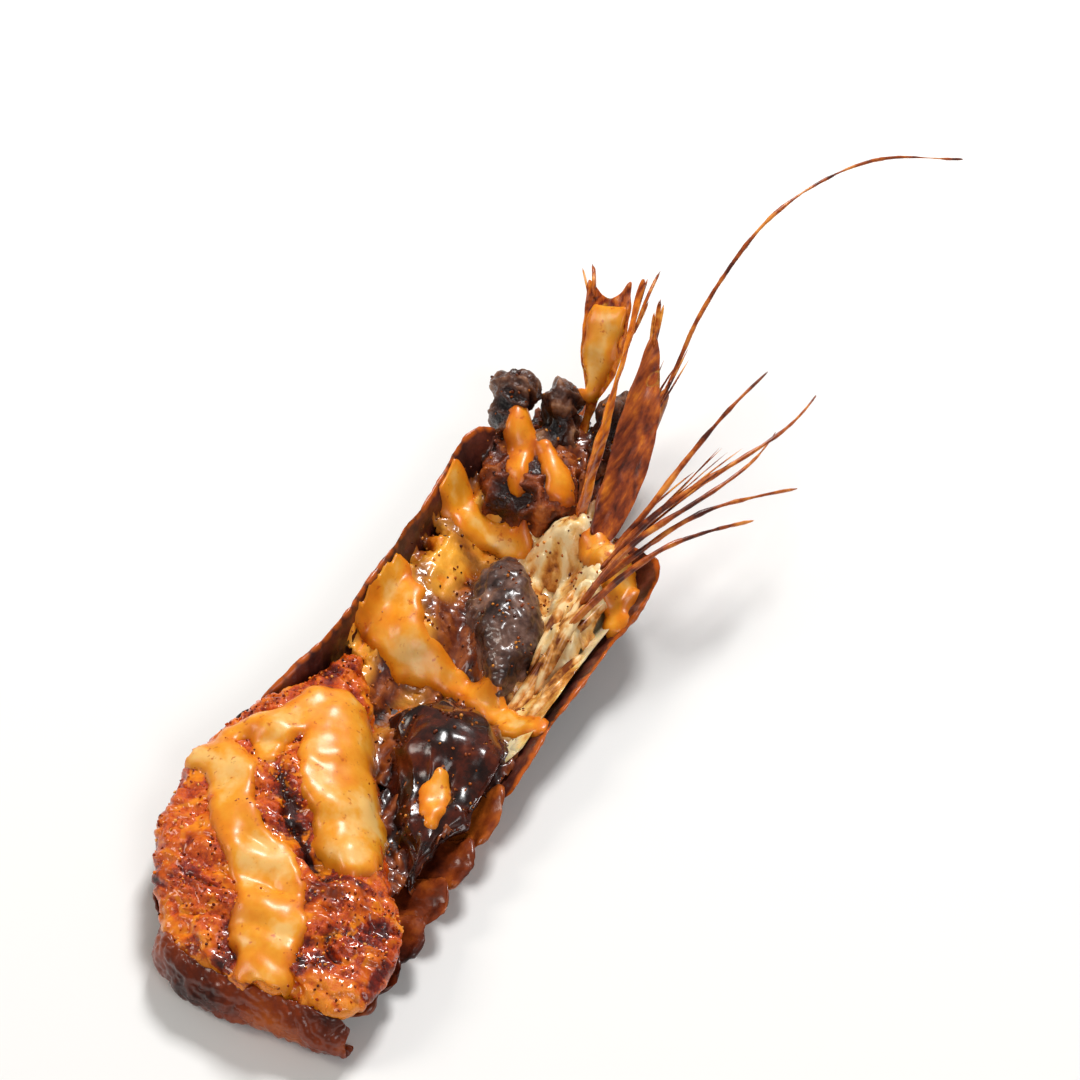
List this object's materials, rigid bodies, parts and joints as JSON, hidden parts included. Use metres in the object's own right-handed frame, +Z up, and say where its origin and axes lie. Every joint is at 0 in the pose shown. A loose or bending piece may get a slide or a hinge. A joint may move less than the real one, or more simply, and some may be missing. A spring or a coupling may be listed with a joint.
{
  "type": "grilled king prawn",
  "caption": "Head-on grilled prawn, split along the belly and opened flat, lying shell down with spiced tail flesh, dark head contents, legs, an antenna and drizzled sauce.",
  "frame": {"origin": "centre of the bounding box, on the surface that the shell rests on", "axes": "+X along the body towards the head and antenna, +Y to the prawn's side shown on the left, +Z up, out of the opened belly"},
  "size_m": [0.2204, 0.0756, 0.0348],
  "materials": {
    "grilled_meat": "grainy grilled flesh, glossy with oil",
    "tail_shell": "roasted shell, browned, satin gloss",
    "carapace": "roasted shell, purple-brown, satin gloss",
    "shell_lining": "pale inner shell, smooth, lightly speckled",
    "head_tissue": "soft orange-brown head flesh, wet",
    "dark_liver": "dark cooked liver, wet gloss",
    "charred_head": "charred and knobbly",
    "blade": "thin dried shell, orange-brown",
    "antenna_base": "cream and brown shell tube",
    "limb": "dry thin legs and antenna, orange-brown",
    "sauce": "thick creamy sauce, glossy"
  },
  "bodies": {
    "root": {"antenna": "limb", "antenna_base": "antenna_base", "antennal_scale_left": "blade", "antennal_scale_right": "blade", "carapace_left": "carapace", "carapace_right": "carapace", "dark_liver_front": "dark_liver", "dark_liver_rear": "dark_liver", "eye_left": "charred_head", "eye_right": "charred_head", "face": "charred_head", "head_spine": "blade", "head_tissue": "head_tissue", "leg_1": "limb", "leg_2": "limb", "leg_3": "limb", "leg_4": "limb", "leg_5": "limb", "mouthparts": "charred_head", "rostrum": "carapace", "shell_lining": "shell_lining", "tail_fan": "tail_shell", "tail_meat": "grilled_meat", "tail_ring_1": "tail_shell", "tail_ring_2": "tail_shell", "tail_ring_3": "tail_shell", "tail_ring_4": "tail_shell", "tail_ring_5": "tail_shell", "tail_ring_6": "tail_shell"}
  },
  "joints": []
}
